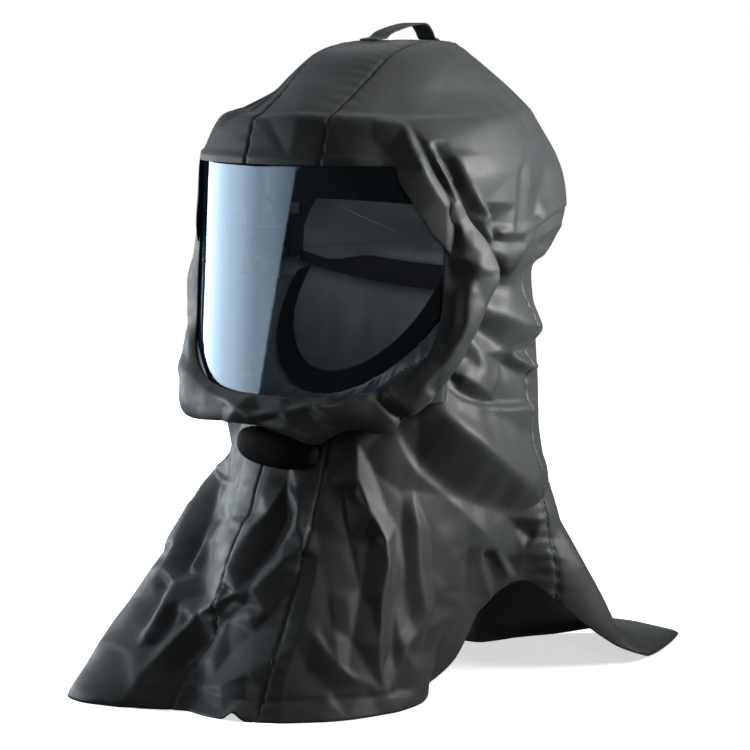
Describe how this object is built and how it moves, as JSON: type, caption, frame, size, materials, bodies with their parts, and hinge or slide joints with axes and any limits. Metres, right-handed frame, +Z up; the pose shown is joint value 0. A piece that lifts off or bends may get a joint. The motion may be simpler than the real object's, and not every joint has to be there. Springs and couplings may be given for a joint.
{
  "type": "long welding hood",
  "caption": "Long grey coated-cloth welding hood with a clear curved visor, puffed collar, head frame, face seal and a cape that stands on its hem.",
  "frame": {"origin": "middle of the footprint on the ground, below the head", "axes": "+Z up, the face looks along -Y, the wearer's left is +X"},
  "size_m": [0.3754, 0.4578, 0.5453],
  "materials": {
    "coated_cloth": "satin",
    "seal_cloth": "satin",
    "clear_visor": "clear",
    "webbing": "matte",
    "black_strap": "matte",
    "black_plastic": "satin",
    "sweat_pad": "matte",
    "black_rubber": "matte"
  },
  "bodies": {
    "root": {"crown_center_panel": "coated_cloth", "crown_left_panel": "coated_cloth", "crown_right_panel": "coated_cloth", "front_center_panel": "coated_cloth", "front_left_panel": "coated_cloth", "front_right_panel": "coated_cloth", "back_panel": "coated_cloth", "face_collar": "coated_cloth", "visor": "clear_visor", "handle_strap": "webbing", "chin_grip": "black_rubber", "sweat_band": "sweat_pad", "head_frame_left": "black_plastic", "head_frame_right": "black_plastic", "nape_strap": "black_strap", "face_seal": "seal_cloth", "seal_elastic": "black_strap"}
  },
  "joints": []
}
